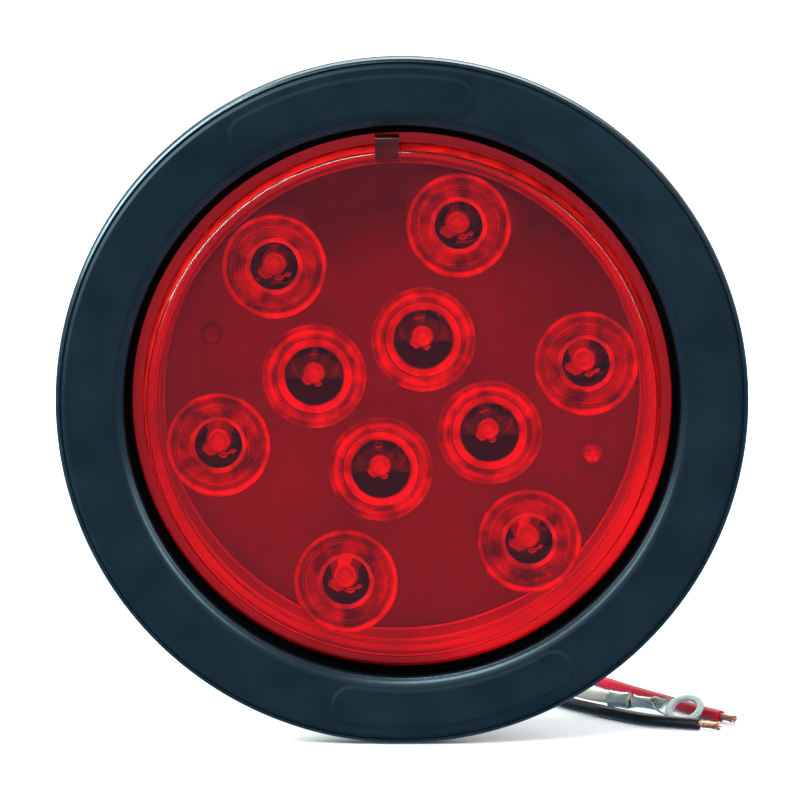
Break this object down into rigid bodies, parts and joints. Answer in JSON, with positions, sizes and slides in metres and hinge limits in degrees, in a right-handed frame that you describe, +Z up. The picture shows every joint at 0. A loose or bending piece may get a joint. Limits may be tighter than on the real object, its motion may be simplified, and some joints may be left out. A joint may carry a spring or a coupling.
{
  "type": "trailer tail light",
  "caption": "Round red LED stop, turn and tail lamp in a rubber mounting grommet, with a right-angle plug and loose leads ending in bare strands and a ring terminal.",
  "frame": {"origin": "on the lamp's axis, in the plane where the grommet's flange seats on the panel", "axes": "+Y runs along the lamp's axis from the lens back into the panel, +Z is up with the lamp upright, +X is to the right seen from the front"},
  "size_m": [0.1372, 0.079, 0.1372],
  "materials": {
    "rubber": "moulded black rubber with a soft sheen",
    "red_acrylic": "clear red moulded acrylic, polished, with ringed optics on its inner side",
    "housing_plastic": "light grey moulded plastic",
    "board_laminate": "green lacquered glass laminate",
    "screw_steel": "zinc plated steel",
    "led_epoxy": "clear cast epoxy",
    "resistor_coat": "tan lacquer with colour bands",
    "rectifier_epoxy": "black moulded epoxy with a pale band",
    "contact_brass": "tinned brass",
    "sealing_resin": "poured dark resin",
    "plug_plastic": "black moulded thermoplastic",
    "white_insulation": "extruded white vinyl",
    "black_insulation": "extruded black vinyl",
    "red_insulation": "extruded red vinyl",
    "bare_copper": "bright twisted copper strands",
    "tinned_copper": "tin plated pressed copper"
  },
  "bodies": {
    "grommet": {"grommet": "rubber"},
    "lamp": {"lens": "red_acrylic", "housing": "housing_plastic", "circuit_board": "board_laminate", "board_screw_1": "screw_steel", "board_screw_2": "screw_steel", "led_01": "led_epoxy", "led_02": "led_epoxy", "led_03": "led_epoxy", "led_04": "led_epoxy", "led_05": "led_epoxy", "led_06": "led_epoxy", "led_07": "led_epoxy", "led_08": "led_epoxy", "led_09": "led_epoxy", "led_10": "led_epoxy", "resistor_1": "resistor_coat", "resistor_2": "resistor_coat", "resistor_3": "resistor_coat", "resistor_4": "resistor_coat", "rectifier_1": "rectifier_epoxy", "rectifier_2": "rectifier_epoxy", "contact_ground": "contact_brass", "contact_tail": "contact_brass", "contact_stop": "contact_brass", "contact_seal": "sealing_resin"},
    "plug": {"plug_body": "plug_plastic", "terminal_ground": "contact_brass", "terminal_tail": "contact_brass", "terminal_stop": "contact_brass", "wire_white": "white_insulation", "wire_black": "black_insulation", "wire_red": "red_insulation", "strands_black": "bare_copper", "strands_red": "bare_copper", "ring_terminal": "tinned_copper"}
  },
  "joints": [
    {"name": "lamp_turn", "type": "hinge", "parent": "grommet", "child": "lamp", "pos_m": [0, 0, 0], "axis": [0, 1, 0], "continuous": true},
    {"name": "plug_pull", "type": "slide", "parent": "lamp", "child": "plug", "axis": [0, 1, 0], "range_m": [0, 0.016]}
  ]
}
